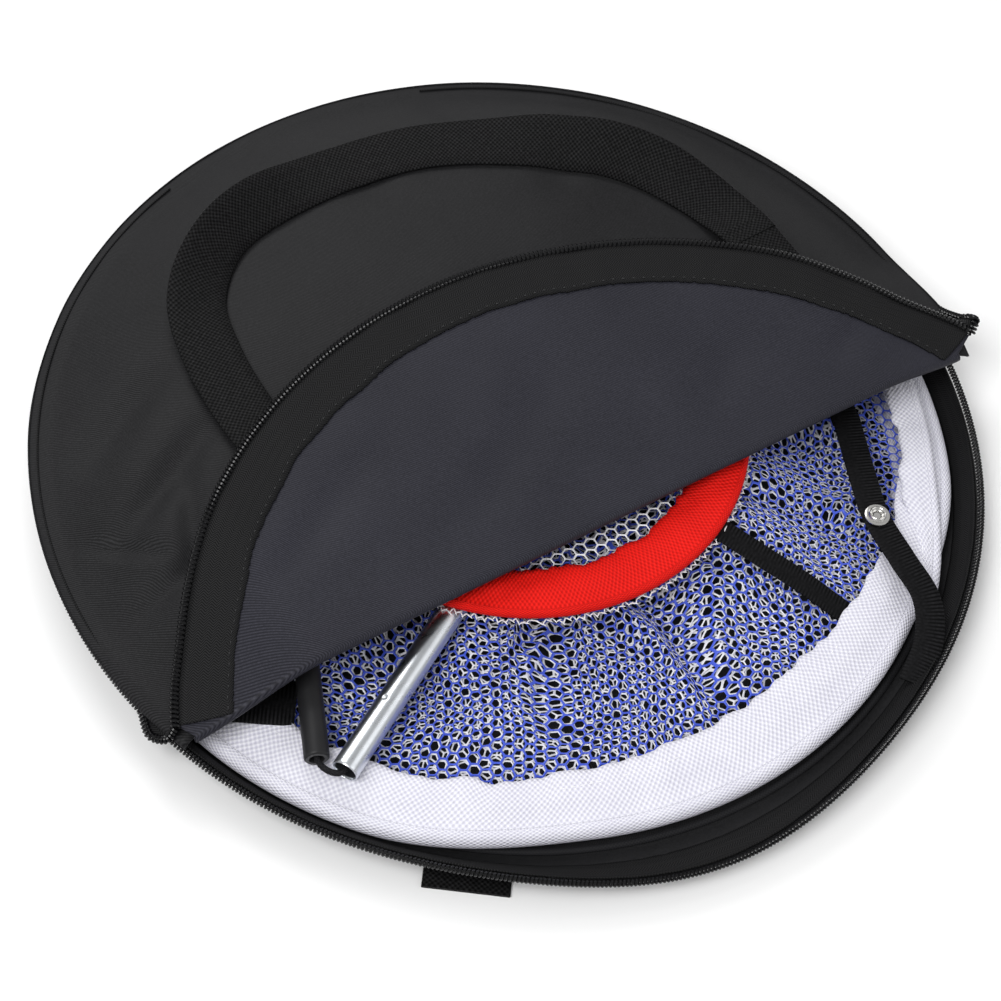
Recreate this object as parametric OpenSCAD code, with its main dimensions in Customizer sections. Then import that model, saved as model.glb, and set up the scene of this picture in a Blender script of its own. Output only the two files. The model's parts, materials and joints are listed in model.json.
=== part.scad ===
// Pop-up chipping net, coiled and packed in its round zip bag.
// The bag stands on the floor with its front flap folded back over the lid.
// Origin: centre of the base on the floor. +X runs along the fold, -Y is the open front.

/* [Bag] */
// Radius of the bag at its zip
bag_r = 199; // [198:0.5:202]
// Radius of the base, where the wall starts
base_r = 188; // [186:0.5:189]
// Distance from the bag's centre to the fold of the flap
fold_y = 65.5; // [60:0.5:72]
// Height of the top of the lid above the floor
lid_top = 42.4; // [42:0.1:46]
// Height of the lid's edge above the floor
lid_edge = 24; // [24:0.5:27]
// Thickness of the lid and flap cloth with its lining
cloth_t = 1.2; // [0.8:0.1:1.4]

/* [Zip] */
// Half the thickness of the zip coil
coil_r = 1.6; // [1.2:0.1:1.6]
// Height of the base's zip coil
coil_z = 17; // [16.5:0.1:17]
// Half of the sewn hinge at the back, in degrees round the bag
hinge_half = 20; // [12:1:25]
// Where the slider is parked, in degrees round the bag
slider_at = -6; // [-8:0.5:-5]

/* [Handles] */
// Width of the handle webbing
web_w = 25; // [20:1:28]
// Thickness of the handle webbing
web_t = 1.5; // [1.2:0.1:1.6]
// Half the distance between a handle's two ends
web_half = 120; // [100:1:122]

/* [Net] */
// Radius of the lowest coil of the sprung rim
rim_r = 184; // [180:0.5:184.5]
// Width of the white hem
hem_w = 28; // [24:1:28]
// Inner radius of the red target ring
target_r = 76; // [70:1:80]
// Outer radius of the red target ring
target_outer_r = 97; // [92:1:97]

/* [Pole] */
// Outer radius of the steel tube
tube_r = 5.5; // [4.5:0.1:5.6]
// Wall of the steel tube
tube_wall = 0.7; // [0.5:0.1:1]
// Outer radius of the plastic pole
pole_r = 5; // [4:0.1:5.2]
// Length of each pole section
pole_len = 210; // [150:5:215]

/* [Hidden] */
$fn = 96;

// Base
panel_t = 2.6;
wall_t = 2;
wall_top = 14.4;
tape_t = 1;
tape_foot = 8;
groove_t = 2;
gap = 0.4;

// The zip chain runs on this radius
chain_r = bag_r - 1;
lid_coil_z = coil_z + 2 * coil_r + 0.6;
// Ends of the closed stretch of chain on the left and right
closed_right = -4;
closed_left = 192;

// Flap: a segment of the bag mirrored about the fold
flap_cy = -2 * fold_y;
flap_z = 44.2;
flap_start = 2;
flap_panel_r = chain_r - 12;

// Handles
handle_x = 10;
handle_y = 45;
handle_z = 42.3;
handle_reach = 108;
handle_drop = 1;
lower_half = web_half - 2;
lower_handle_y = -128;
lower_handle_reach = 92;
// How far the left tab stands out from under the base; the right one ends flush
tab_proud = 13;

// Slider: two plates, outside and inside the coil, measured from the chain
plate_l = 9;
plate_t = 1.2;
slider_out = coil_r + gap;
slider_in = -coil_r - gap - 1.4;
slider_top = 20.2;
pull_x = slider_out + plate_t + 1.3;
pull_z = 16.6;

// Net
rim_z = 8.5;
upper_r = 176;
upper_z = 17;
bottom_r = 168;
bottom_z = 5.4;
red_z = 33.4;
wire_gap = 0.1;

// Pole
pole_z = 25.2;
tube_end = [-142, -104];
tube_dir = 29.6;
pole_end = [-148.5, -94.5];
pole_dir = 66;
pole_bore_r = 2.6;
cord_r = 1.2;
cap_len = 8;

// Snap strap
strap_w = 11;
strap_t = 1.2;
snap_at = [109, -109, 22.5];

// A ring with a rectangular section
module band(r0, r1, z0, z1, from = 0, sweep = 360) {
    rotate([0, 0, from])
        rotate_extrude(angle = sweep)
            translate([r0, z0])
                square([r1 - r0, z1 - z0]);
}

// A ring with a round section
module round_ring(ring_r, z, r, from = 0, sweep = 360) {
    rotate([0, 0, from])
        rotate_extrude(angle = sweep)
            translate([ring_r, z])
                circle(r = r, $fn = 24);
}

// A flat ribbon through a list of points, as short straight lengths
module ribbon(points, width, thick) {
    for (i = [0 : len(points) - 2]) {
        a = points[i];
        b = points[i + 1];
        turn = atan2(b.y - a.y, b.x - a.x);
        hull() {
            ribbon_end(a, turn, width, thick);
            ribbon_end(b, turn, width, thick);
        }
    }
}

module ribbon_end(p, turn, width, thick) {
    translate(p)
        rotate([0, 0, turn])
            translate([-0.5, -width / 2, 0])
                cube([1, width, thick]);
}

// A flat strap that lies straight from one point to another at one height
module flat_strap(a, b, width, thick) {
    run = b - a;
    translate(a)
        rotate([0, 0, atan2(run.y, run.x)])
            translate([0, -width / 2, 0])
                cube([norm(run), width, thick]);
}

// Centre line of a handle's loop: a squared-off half oval
function loop_point(t, half, reach) =
    let (c = cos(t), s = sin(t))
    [sign(c) * half * pow(abs(c), 0.62), reach * pow(s, 0.8)];

function loop_line(half, reach, steps) =
    [for (i = [0 : steps]) loop_point(180 * i / steps, half, reach)];

// A handle's loop seen from above, from its two ends at y = 0
module loop_shape(half, reach, width) {
    outer = loop_line(half + width / 2, reach + width / 2, 30);
    inner = loop_line(half - width / 2, reach - width / 2, 30);
    polygon(concat(outer, [for (i = [30 : -1 : 0]) inner[i]]));
}

// Section of a net hem: a tube for the wire, and the flat band inside it
module hem_section(ring_r, z, tube, wire, inner_r, inner_z) {
    difference() {
        union() {
            translate([ring_r, z])
                circle(r = tube, $fn = 32);
            polygon([
                [ring_r - 1, z + tube - 0.3],
                [inner_r, inner_z],
                [inner_r, inner_z - 1.6],
                [ring_r - 2, z - 0.6]
            ]);
        }
        translate([ring_r, z])
            circle(r = wire + wire_gap, $fn = 32);
    }
}

// Lid height above the floor at a distance from the middle
function dome(r) = lid_edge + (lid_top - lid_edge) * (1 - pow(r / bag_r, 3));

module base_panel() {
    color("black")
        difference() {
            cylinder(h = panel_t, r = base_r, $fn = 180);
            translate([0, 0, -1])
                linear_extrude(groove_t + 1)
                    lower_loop_place()
                        loop_shape(lower_half, lower_handle_reach, web_w + 2);
            for (side = [-1, 1])
                translate([side * lower_half - web_w / 2 - 1, -base_r, -1])
                    cube([web_w + 2, base_r + lower_handle_y + 1, groove_t + 1]);
        }
}

// Inner radius of the slanted wall at a height
function wall_in(z) =
    base_r - wall_t + (bag_r - base_r) * (z - panel_t) / (wall_top - panel_t);

// Section of a slanted band that lies a distance inside the wall
module slanted_section(z0, z1, inset, thick) {
    polygon([
        [wall_in(z0) - inset - thick, z0],
        [wall_in(z0) - inset, z0],
        [wall_in(z1) - inset, z1],
        [wall_in(z1) - inset - thick, z1]
    ]);
}

module base_wall() {
    color("black")
        rotate_extrude($fn = 180)
            slanted_section(panel_t, wall_top, -wall_t, wall_t);
}

module base_seam_binding() {
    color("dimgray")
        band(base_r - 6, base_r - wall_t - 0.4, panel_t, panel_t + 1.2);
}

module base_zip_tape() {
    color("black")
        rotate([0, 0, 90 + hinge_half])
            rotate_extrude(angle = 360 - 2 * hinge_half)
                slanted_section(tape_foot, coil_z - coil_r - 0.1, 0.2, tape_t);
}

module base_zip_coil() {
    color("black")
        round_ring(chain_r, coil_z, coil_r, 90 + hinge_half, 360 - 2 * hinge_half);
}

module zip_stops() {
    color("silver")
        for (side = [-1, 1])
            band(chain_r - 1.1, chain_r + 1, coil_z - 1.3, coil_z + 1.4,
                 90 + side * (hinge_half - 1.2) - 0.5, 1);
}

module rear_hinge_strip() {
    color("black")
        band(bag_r + 0.2, bag_r + 1.2, 12.5, 19.6, 90 - hinge_half + 1, 2 * hinge_half - 2);
}

module lower_loop_place() {
    translate([0, lower_handle_y, 0])
        children();
}

module lower_handle_tabs() {
    color("black")
        for (tab = [[-1, tab_proud], [1, 0]])
            intersection() {
                translate([tab[0] * lower_half - web_w / 2, -bag_r, 0.1])
                    cube([web_w, bag_r + lower_handle_y - 4.5, web_t]);
                cylinder(h = 5, r = base_r + tab[1], $fn = 180);
            }
}

module lower_handle() {
    color("black")
        translate([0, 0, 0.1])
            linear_extrude(web_t)
                lower_loop_place()
                    loop_shape(lower_half, lower_handle_reach, web_w);
}

module rear_lid() {
    top = [for (i = [0 : 16]) let (r = bag_r * i / 16) [r, dome(r)]];
    under = [for (i = [16 : -1 : 0]) let (r = (bag_r - 1.4) * i / 16) [r, dome(r) - cloth_t]];
    skirt = [[bag_r, lid_edge - 1.4], [bag_r - 1.4, lid_edge - 1.4]];
    color("#1c1c20")
        difference() {
            rotate_extrude($fn = 180)
                polygon(concat(top, skirt, under));
            translate([-300, -300 - fold_y + 1, 0])
                cube([600, 300, 100]);
        }
}

module lid_zip_tape() {
    color("black")
        closed_stretch()
            band(chain_r - coil_r - 0.05 - tape_t, chain_r - coil_r - 0.05,
                 lid_coil_z - 1.2, lid_edge - 0.9, $sweep[0], $sweep[1]);
}

module lid_zip_coil() {
    color("black")
        closed_stretch()
            round_ring(chain_r, lid_coil_z, coil_r, $sweep[0], $sweep[1]);
}

// Repeats its child along the closed chain, on the right and on the left
module closed_stretch() {
    for (span = [[closed_right, 90 - hinge_half], [90 + hinge_half, closed_left]]) {
        $sweep = [span[0], span[1] - span[0]];
        children();
    }
}

// Keeps only what lies behind the fold
module behind_fold(margin) {
    intersection() {
        children();
        translate([-300, -fold_y + margin, 0])
            cube([600, 400, 100]);
    }
}

module lid_flap() {
    color("#2b2b31")
        behind_fold(flap_start)
            translate([0, flap_cy, flap_z])
                cylinder(h = cloth_t, r = flap_panel_r, $fn = 180);
}

module flap_zip_tape() {
    color("black")
        behind_fold(flap_start)
            translate([0, flap_cy, 0])
                band(flap_panel_r, chain_r - coil_r - 0.1, flap_z + 0.1, flap_z + 0.1 + tape_t);
}

module flap_zip_coil() {
    reach = asin((fold_y + 3.5) / chain_r);
    color("black")
        translate([0, flap_cy, 0])
            round_ring(chain_r, flap_z + 0.6, coil_r, reach, 180 - 2 * reach);
}

module handle_end_patches() {
    color("black")
        for (side = [-1, 1])
            translate([handle_x + side * web_half - web_w / 2, 6, handle_z - 0.8])
                cube([web_w, handle_y - 7, web_t]);
}

module carry_handle() {
    color("black")
        translate([handle_x, handle_y, handle_z])
            rotate([-handle_drop, 0, 0])
                translate([0, 0, -web_t / 2])
                    linear_extrude(web_t)
                        loop_shape(web_half, handle_reach, web_w);
}

// Places its children beside the base's chain, with +X away from the bag
module at_slider() {
    rotate([0, 0, slider_at])
        translate([chain_r, 0, 0])
            children();
}

module zip_slider() {
    color("#303034")
        at_slider() {
            translate([slider_out, -plate_l / 2, 12.6])
                cube([plate_t, plate_l, slider_top - 12.6]);
            translate([slider_in, -plate_l / 2, 15.8])
                cube([plate_t, plate_l, slider_top - 15.8]);
            translate([slider_in, -1.2, coil_z + coil_r + gap])
                cube([slider_out + plate_t - slider_in, 2.4, slider_top - coil_z - coil_r - gap]);
            difference() {
                translate([slider_out + plate_t, -1.5, 14.6])
                    cube([2.6, 3, 4]);
                translate([pull_x, 0, pull_z])
                    rotate([90, 0, 0])
                        cylinder(h = 10, r = 0.75, center = true, $fn = 32);
            }
        }
}

module zip_pull() {
    color("#303034")
        at_slider() {
            translate([pull_x, 0, pull_z])
                rotate([90, 0, 0])
                    cylinder(h = 5.2, r = 0.7, center = true, $fn = 32);
            for (y = [-2.7, 1.7])
                translate([pull_x - 0.7, y, 12.8])
                    cube([1.4, 1, 4.5]);
            translate([pull_x - 0.7, -2.7, 3.4])
                cube([1.4, 5.4, 9.6]);
        }
}

module net_hem_lower() {
    color("white")
        rotate_extrude($fn = 180)
            hem_section(rim_r, rim_z, 4, 1.5, rim_r - hem_w, 16.3);
}

module net_hem_upper() {
    color("white")
        rotate([0, 0, -58])
            rotate_extrude(angle = 250)
                hem_section(upper_r, upper_z, 3, 1.2, upper_r - hem_w, 19.8);
}

module net_hem_bottom() {
    color("white")
        rotate_extrude()
            hem_section(bottom_r, bottom_z, 2.5, 1.2, bottom_r - hem_w, 7.6);
}

module spring_wire_lower() {
    color("lightsteelblue")
        round_ring(rim_r, rim_z, 1.5);
}

module spring_wire_upper() {
    color("lightsteelblue")
        round_ring(upper_r, upper_z, 1.2, -57, 248);
}

module spring_wire_bottom() {
    color("lightsteelblue")
        round_ring(bottom_r, bottom_z, 1.2);
}

module white_mesh() {
    color("whitesmoke")
        translate([0, 0, 3])
            cylinder(h = 6, r = bottom_r - hem_w - 1);
}

module blue_mesh() {
    color("royalblue")
        translate([0, 0, 9.4])
            cylinder(h = 7, r = rim_r - hem_w - 1.5);
}

module red_hem() {
    color("orangered")
        rotate_extrude($fn = 120)
            hem_section(target_outer_r - 1.9, red_z, 1.9, 0.9, target_r, red_z + 0.9);
}

module red_hem_wire() {
    color("lightsteelblue")
        round_ring(target_outer_r - 1.9, red_z, 0.9);
}

module target_mesh() {
    color("whitesmoke")
        translate([0, 0, red_z - 0.7])
            cylinder(h = 1.4, r = target_r - 0.5);
}

module spacer_strap() {
    color("black")
        ribbon([[45, -91, 30.6], [56, -113, 24], [66, -134, 18]], strap_w, strap_t);
}

module side_strap() {
    color("black")
        flat_strap([-164, -52, 17.2], [-142, -66, 17.2], 20, 1.3);
}

module snap_strap() {
    color("black")
        difference() {
            ribbon([[129, -62, 22.5], snap_at, [101, -150, 22.5], [84, -166, 19], [66, -172, 13]],
                   strap_w, strap_t);
            translate(snap_at - [0, 0, 2])
                cylinder(h = 6, r = 1.6, $fn = 32);
        }
}

module snap_socket() {
    color("silver")
        translate(snap_at + [0, 0, strap_t])
            difference() {
                union() {
                    cylinder(h = 1, r = 5.2, $fn = 48);
                    cylinder(h = 2.4, r = 3.6, $fn = 48);
                }
                translate([0, 0, -1])
                    cylinder(h = 5, r = 1.7, $fn = 32);
            }
}

module snap_rivet() {
    color("silver")
        translate(snap_at - [0, 0, 1.2]) {
            cylinder(h = 1.2, r = 4.6, $fn = 48);
            cylinder(h = 3.2, r = 1.5, $fn = 32);
        }
}

module stud_tab() {
    color("black")
        flat_strap([160, -16, 21], [140, -36, 21], strap_w, strap_t);
}

module snap_stud() {
    color("silver")
        translate([147, -29, 21 + strap_t]) {
            cylinder(h = 1, r = 4.8, $fn = 48);
            cylinder(h = 3, r = 1.6, $fn = 32);
        }
}

// Lays its children along a pole, with +Z from the open end into the bag
module along(end, dir) {
    translate([end.x, end.y, pole_z])
        rotate([0, 90, dir])
            children();
}

module steel_tube() {
    color("lightsteelblue")
        along(tube_end, tube_dir)
            difference() {
                cylinder(h = pole_len, r = tube_r, $fn = 64);
                translate([0, 0, -1])
                    cylinder(h = pole_len + 2, r = tube_r - tube_wall, $fn = 64);
            }
}

module black_pole() {
    color("#222222")
        along(pole_end, pole_dir)
            difference() {
                cylinder(h = pole_len, r = pole_r, $fn = 64);
                translate([0, 0, -1])
                    cylinder(h = pole_len + 2, r = pole_bore_r, $fn = 48);
            }
}

module pole_end_caps() {
    color("#222222") {
        along(tube_end, tube_dir)
            translate([0, 0, pole_len])
                cylinder(h = cap_len / 2, r = tube_r, $fn = 48);
        along(pole_end, pole_dir)
            translate([0, 0, pole_len])
                cylinder(h = cap_len / 2, r = pole_r, $fn = 48);
    }
}

// A point on a pole's axis, at a distance in from its open end
function on_axis(end, dir, d) = [end.x + d * cos(dir), end.y + d * sin(dir), pole_z];

function bezier(a, b, c, d, t) =
    pow(1 - t, 3) * a + 3 * pow(1 - t, 2) * t * b + 3 * (1 - t) * t * t * c + t * t * t * d;

// The cord: out of one pole's bore, across, and into the other's
cord_line = concat(
    [for (d = [pole_len - 1, 140, 70, 20, 8]) on_axis(pole_end, pole_dir, d)],
    [for (i = [0 : 10])
        bezier(on_axis(pole_end, pole_dir, 1), on_axis(pole_end, pole_dir, -8),
               on_axis(tube_end, tube_dir, -8), on_axis(tube_end, tube_dir, 1), i / 10)],
    [for (d = [8, 20, 70, 140, pole_len - 1]) on_axis(tube_end, tube_dir, d)]
);

// A round tube swept along points that lie at one height
module flat_tube(points, r, sides) {
    last = len(points) - 1;
    rings = [for (i = [0 : last])
        let (ahead = points[min(i + 1, last)] - points[max(i - 1, 0)],
             side = [-ahead.y, ahead.x, 0] / norm(ahead))
        for (k = [0 : sides - 1])
            points[i] + r * cos(360 * k / sides) * side + [0, 0, r * sin(360 * k / sides)]];
    walls = [for (i = [0 : last - 1])
        for (k = [0 : sides - 1])
            let (n = (k + 1) % sides)
            [i * sides + k, i * sides + n, (i + 1) * sides + n, (i + 1) * sides + k]];
    ends = [[for (k = [sides - 1 : -1 : 0]) k], [for (k = [0 : sides - 1]) last * sides + k]];
    polyhedron(rings, concat(walls, ends));
}

module shock_cord() {
    color("#333333")
        flat_tube(cord_line, cord_r, 8);
}

base_panel();
base_wall();
base_seam_binding();
base_zip_tape();
base_zip_coil();
zip_stops();
rear_hinge_strip();
lower_handle_tabs();
lower_handle();
rear_lid();
lid_zip_tape();
lid_zip_coil();
lid_flap();
flap_zip_tape();
flap_zip_coil();
handle_end_patches();
carry_handle();
zip_slider();
zip_pull();
net_hem_lower();
net_hem_upper();
net_hem_bottom();
spring_wire_lower();
spring_wire_upper();
spring_wire_bottom();
white_mesh();
blue_mesh();
red_hem();
red_hem_wire();
target_mesh();
spacer_strap();
side_strap();
snap_strap();
snap_socket();
snap_rivet();
stud_tab();
snap_stud();
steel_tube();
black_pole();
pole_end_caps();
shock_cord();
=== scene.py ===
"""Pop-up chipping net, coiled and packed in its round zip bag, with the front flap folded back.

Lengths in this script are millimetres until a mesh is made, when they become metres.
"""
import json
import math

import bpy
import numpy as np
from mathutils import Matrix, Vector, noise


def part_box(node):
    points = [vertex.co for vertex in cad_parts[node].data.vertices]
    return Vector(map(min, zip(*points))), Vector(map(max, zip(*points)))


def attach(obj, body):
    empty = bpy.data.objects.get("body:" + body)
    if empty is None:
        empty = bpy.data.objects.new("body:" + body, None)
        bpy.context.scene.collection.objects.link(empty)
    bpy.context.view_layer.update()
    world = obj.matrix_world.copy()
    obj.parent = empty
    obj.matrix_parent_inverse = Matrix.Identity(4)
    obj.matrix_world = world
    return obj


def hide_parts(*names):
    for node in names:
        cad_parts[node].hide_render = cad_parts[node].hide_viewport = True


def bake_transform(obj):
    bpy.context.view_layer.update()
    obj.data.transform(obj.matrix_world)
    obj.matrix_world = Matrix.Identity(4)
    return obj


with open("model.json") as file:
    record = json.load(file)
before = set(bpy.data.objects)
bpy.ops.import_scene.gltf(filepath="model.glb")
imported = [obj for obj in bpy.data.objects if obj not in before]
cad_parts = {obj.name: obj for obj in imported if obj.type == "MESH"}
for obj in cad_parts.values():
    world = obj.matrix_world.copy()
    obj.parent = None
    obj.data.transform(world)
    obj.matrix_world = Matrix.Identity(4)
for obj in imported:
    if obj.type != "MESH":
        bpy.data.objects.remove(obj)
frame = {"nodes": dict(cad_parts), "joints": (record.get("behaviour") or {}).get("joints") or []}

MM = 0.001
UP = Vector((0, 0, 1))
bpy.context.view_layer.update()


# ---------------------------------------------------------------- sizes, from the frame

def node_box(name):
    low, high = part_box(name)
    return low / MM, high / MM


def outer(name):
    """A node's largest x, which is a ring's outer radius."""
    return node_box(name)[1].x


def middle_z(name):
    low, high = node_box(name)
    return (low.z + high.z) / 2


def half_height(name):
    low, high = node_box(name)
    return (high.z - low.z) / 2


def joint_point(name):
    found = next(j for j in frame["joints"] if j["name"] == name)
    return Vector(found["pos_m"]) / MM


# Radii of the lowest coil's sprung wire and of the other coils' wire
RIM_WIRE = 1.5
COIL_WIRE = 1.2

FOLD = joint_point("flap_fold")
FOLD_Y = FOLD.y
BAG_R = outer("base_wall")
BASE_R = outer("base_panel")
CHAIN_R = BAG_R - 0.4
COIL_R = half_height("base_zip_coil")
COIL_Z = middle_z("base_zip_coil")
LID_COIL_Z = node_box("lid_zip_coil")[1].z - COIL_R
LID_TOP = node_box("rear_lid")[1].z
LID_EDGE = node_box("rear_lid")[0].z + 1.4
FLAP_TOP = node_box("lid_flap")[0].z + 0.9
FLAP_CENTRE = Vector((2, 2 * FOLD_Y, 0))
HINGE_HALF = math.degrees(math.atan2(outer("rear_hinge_strip"), BAG_R)) + 1
RIM_R = outer("spring_wire_lower") - RIM_WIRE
RIM_Z = middle_z("spring_wire_lower")
UPPER_R = outer("spring_wire_upper") - COIL_WIRE
UPPER_Z = middle_z("spring_wire_upper")
UPPER_TOP = node_box("net_hem_upper")[1].z
BOTTOM_R = outer("spring_wire_bottom") - COIL_WIRE
BOTTOM_Z = middle_z("spring_wire_bottom")
RED_R = outer("red_hem")
RED_Z = middle_z("red_hem_wire")
TARGET_R = outer("target_mesh")
POLE_Z = middle_z("steel_tube")
TUBE_R = half_height("steel_tube")
PLASTIC_R = half_height("black_pole")
SNAP = (node_box("snap_socket")[0] + node_box("snap_socket")[1]) / 2

# The pole sections: open end, heading in degrees and length
POLE_LENGTH = 210
TUBE_END = Vector((-142, -104, POLE_Z))
TUBE_HEADING = 29.6
PLASTIC_END = Vector((-148.5, -94.5, POLE_Z))
PLASTIC_HEADING = 66

# Where the closed stretch of chain starts and ends, in degrees round the bag
CLOSED_RIGHT = -4
CLOSED_LEFT = 192


# ---------------------------------------------------------------- small helpers

def smooth(low, high, value):
    """0 below low, 1 above high, and a smooth rise between them."""
    t = min(max((value - low) / (high - low), 0), 1)
    return t * t * (3 - 2 * t)


def mix(a, b, t):
    return a + (b - a) * t


def ripple(x, y, size, seed):
    """Smooth noise from about -1 to 1, with features of the given size."""
    return noise.noise(Vector((x / size, y / size, seed)))


def polar(radius, degrees, z=0.0):
    angle = math.radians(degrees)
    return Vector((radius * math.cos(angle), radius * math.sin(angle), z))


def heading(x, y):
    return math.degrees(math.atan2(y, x))


def bell(turn, middle, width):
    """1 at one heading, falling to 0 on both sides of it."""
    away = (turn - middle + 180) % 360 - 180
    return math.exp(-(away / width) ** 2)


def crease(x, y, start, end, width):
    """1 along the line from start to end, falling to 0 a width away from it."""
    line = Vector(end) - Vector(start)
    here = Vector((x, y)) - Vector(start)
    along = min(max(here.dot(line) / line.length_squared, 0), 1)
    away = (here - line * along).length / width
    taper = math.sin(math.pi * min(max(along, 0.04), 0.96))
    return taper * math.exp(-away * away)


def rounded_line(points, steps=12):
    """A smooth line (Catmull-Rom) through given points."""
    path = [Vector(p) for p in points]
    path = [2 * path[0] - path[1], *path, 2 * path[-1] - path[-2]]
    line = []
    for a, b, c, d in zip(path, path[1:], path[2:], path[3:]):
        for i in range(steps):
            t = i / steps
            line.append(0.5 * (2 * b + (c - a) * t + (2 * a - 5 * b + 4 * c - d) * t * t
                               + (3 * b - a - 3 * c + d) * t ** 3))
    line.append(path[-2])
    return line


def even_steps(line, step):
    """The same line with its points a step apart."""
    points = np.array([tuple(p) for p in line])
    gaps = np.linalg.norm(np.diff(points, axis=0), axis=1)
    reached = np.concatenate([[0], np.cumsum(gaps)])
    count = max(2, int(reached[-1] / step) + 1)
    wanted = np.linspace(0, reached[-1], count)
    return [Vector(p) for p in np.stack([np.interp(wanted, reached, points[:, k]) for k in range(3)], 1)]


def line_length(line):
    return sum((b - a).length for a, b in zip(line, line[1:]))


def arc(radius, start, end, z=0.0, step=3.0):
    """Points on a level arc about the bag's axis, from start to end in degrees."""
    count = max(2, int(abs(end - start) / step))
    return [polar(radius, mix(start, end, i / count), z) for i in range(count + 1)]


# ---------------------------------------------------------------- mesh makers

def make_object(name, points, faces, uv=None):
    """An object from points in millimetres; uv holds a pair of millimetres for each face corner."""
    mesh = bpy.data.meshes.new(name)
    mesh.from_pydata([tuple(Vector(p) * MM) for p in points], [], faces)
    if uv is not None:
        layer = mesh.uv_layers.new(name="Weave")
        layer.data.foreach_set("uv", np.array(uv, np.float32).ravel())
    mesh.polygons.foreach_set("use_smooth", [True] * len(faces))
    mesh.validate()
    mesh.set_sharp_from_angle(angle=math.radians(50))
    piece = bpy.data.objects.new(name, mesh)
    bpy.context.scene.collection.objects.link(piece)
    return piece


def sheet_grid(name, columns, rows, place, cloth_uv=None, closed=False):
    """A sheet of quads: place(u, v) gives its points, and cloth_uv(u, v, point) the weave's place."""
    across = columns if closed else columns + 1
    points = [place(i / columns, j / rows) for j in range(rows + 1) for i in range(across)]
    faces, uv = [], []
    for j in range(rows):
        for i in range(columns):
            right = (i + 1) % across
            face = (j * across + i, j * across + right, (j + 1) * across + right, (j + 1) * across + i)
            faces.append(face)
            corners = ((i, j), (i + 1, j), (i + 1, j + 1), (i, j + 1))
            for (column, row), index in zip(corners, face):
                point = points[index]
                uv.append(cloth_uv(column / columns, row / rows, point) if cloth_uv else (point[0], point[1]))
    return make_object(name, points, faces, uv)


def thicken(piece, thickness, offset=0.0):
    """Gives a sheet its thickness; offset 0 keeps the sheet in the middle, and -1 at the top."""
    solid = piece.modifiers.new("Thickness", "SOLIDIFY")
    solid.thickness = thickness * MM
    solid.offset = offset
    return piece


def tube_faces(rings, around, first=0, closed=False):
    """Faces between neighbouring rings of points, and two end faces unless the tube is closed."""
    faces = []
    for i in range(rings if closed else rings - 1):
        here, there = first + i * around, first + (i + 1) % rings * around
        for k in range(around):
            right = (k + 1) % around
            faces.append((here + k, here + right, there + right, there + k))
    if not closed:
        last = first + (rings - 1) * around
        faces.append(tuple(range(first + around - 1, first - 1, -1)))
        faces.append(tuple(range(last, last + around)))
    return faces


def sweep(name, path, section, closed=False, facing=None):
    """A solid swept along path. section lists (side, up) pairs, and facing(t) gives the up
    direction, where t runs from 0 to 1 along the path."""
    count, around = len(path), len(section)
    edges = [0.0]
    for (a, b), (c, d) in zip(section, section[1:] + section[:1]):
        edges.append(edges[-1] + math.hypot(c - a, d - b))
    points, reached = [], [0.0]
    for i, centre in enumerate(path):
        before = path[i - 1] if closed or i > 0 else path[0]
        after = path[(i + 1) % count] if closed or i < count - 1 else path[-1]
        ahead = (after - before).normalized()
        up = facing(i / (count - 1)) if facing else UP
        side = ahead.cross(up).normalized()
        up = side.cross(ahead).normalized()
        points.extend(centre + side * s + up * h for s, h in section)
        if i:
            reached.append(reached[-1] + (centre - path[i - 1]).length)
    reached.append(reached[-1] + (path[0] - path[-1]).length)
    uv = []
    for i in range(count if closed else count - 1):
        for k in range(around):
            uv.extend([(edges[k], reached[i]), (edges[k + 1], reached[i]),
                       (edges[k + 1], reached[i + 1]), (edges[k], reached[i + 1])])
    if not closed:
        uv.extend([*reversed(section), *section])
    return make_object(name, points, tube_faces(count, around, closed=closed), uv)


def round_section(radius, sides, flat=1.0):
    return [(radius * math.cos(2 * math.pi * k / sides), flat * radius * math.sin(2 * math.pi * k / sides))
            for k in range(sides)]


def webbing_section(width, thick):
    """A flat strap's section, with a soft selvedge on both sides and points across it."""
    half, rise = width / 2, thick / 2
    across = [-half + 0.5, -half * 0.6, -half * 0.2, half * 0.2, half * 0.6, half - 0.5]
    top = [(x, rise) for x in reversed(across)]
    under = [(x, -rise) for x in across]
    edge = rise * 0.4
    return under + [(half, -edge), (half, edge)] + top + [(-half, edge), (-half, -edge)]


def lathe(name, profile, place, sides=48):
    """A turned piece: profile lists (radius, height) pairs, and place puts a point where it belongs."""
    points, faces, uv = [], [], []
    count = len(profile)
    for k in range(sides):
        turn = 2 * math.pi * k / sides
        points.extend(place(Vector((r * math.cos(turn), r * math.sin(turn), h))) for r, h in profile)
        here, there = k * count, (k + 1) % sides * count
        for i in range(count):
            after = (i + 1) % count
            faces.append((here + i, there + i, there + after, here + after))
            uv.extend([(k, i), (k + 1, i), (k + 1, i + 1), (k, i + 1)])
    return make_object(name, points, faces, uv)


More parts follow.
